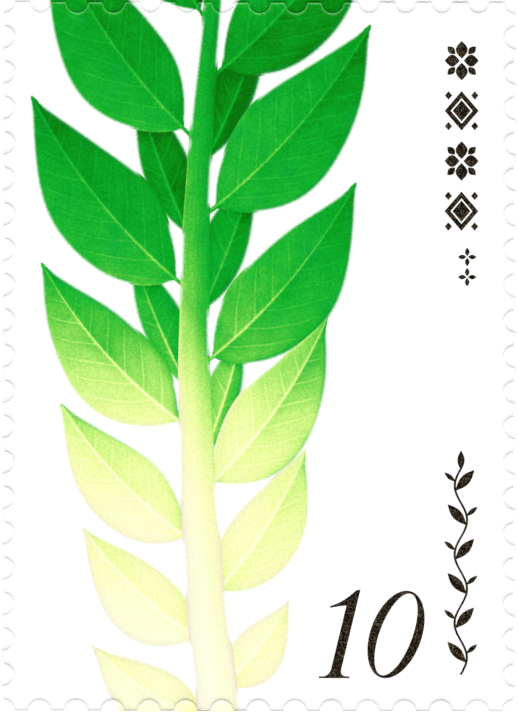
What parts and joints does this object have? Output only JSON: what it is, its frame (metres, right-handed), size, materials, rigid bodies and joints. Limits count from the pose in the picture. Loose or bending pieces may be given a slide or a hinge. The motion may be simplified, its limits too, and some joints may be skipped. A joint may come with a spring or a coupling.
{
  "type": "self-adhesive postage stamp",
  "caption": "Self-adhesive postage stamp with a toothed die-cut edge, lying with the strip of paper round it on a release liner.",
  "frame": {"origin": "centre of the release liner's underside", "axes": "+X to the right of the picture, +Y to the top of the picture, +Z out of the printed face"},
  "size_m": [0.032, 0.0428, 0.0002],
  "materials": {
    "printed_paper": "smooth coated stamp paper, matt, printed on its upper face",
    "adhesive": "thin clear acrylic adhesive, slightly straw coloured, glossy",
    "release_liner": "dense silicone-coated release paper, satin"
  },
  "bodies": {
    "root": {"release_liner": "release_liner", "stamp_adhesive": "adhesive", "surround_adhesive": "adhesive", "stamp_face": "printed_paper", "surround_face": "printed_paper"}
  },
  "joints": []
}
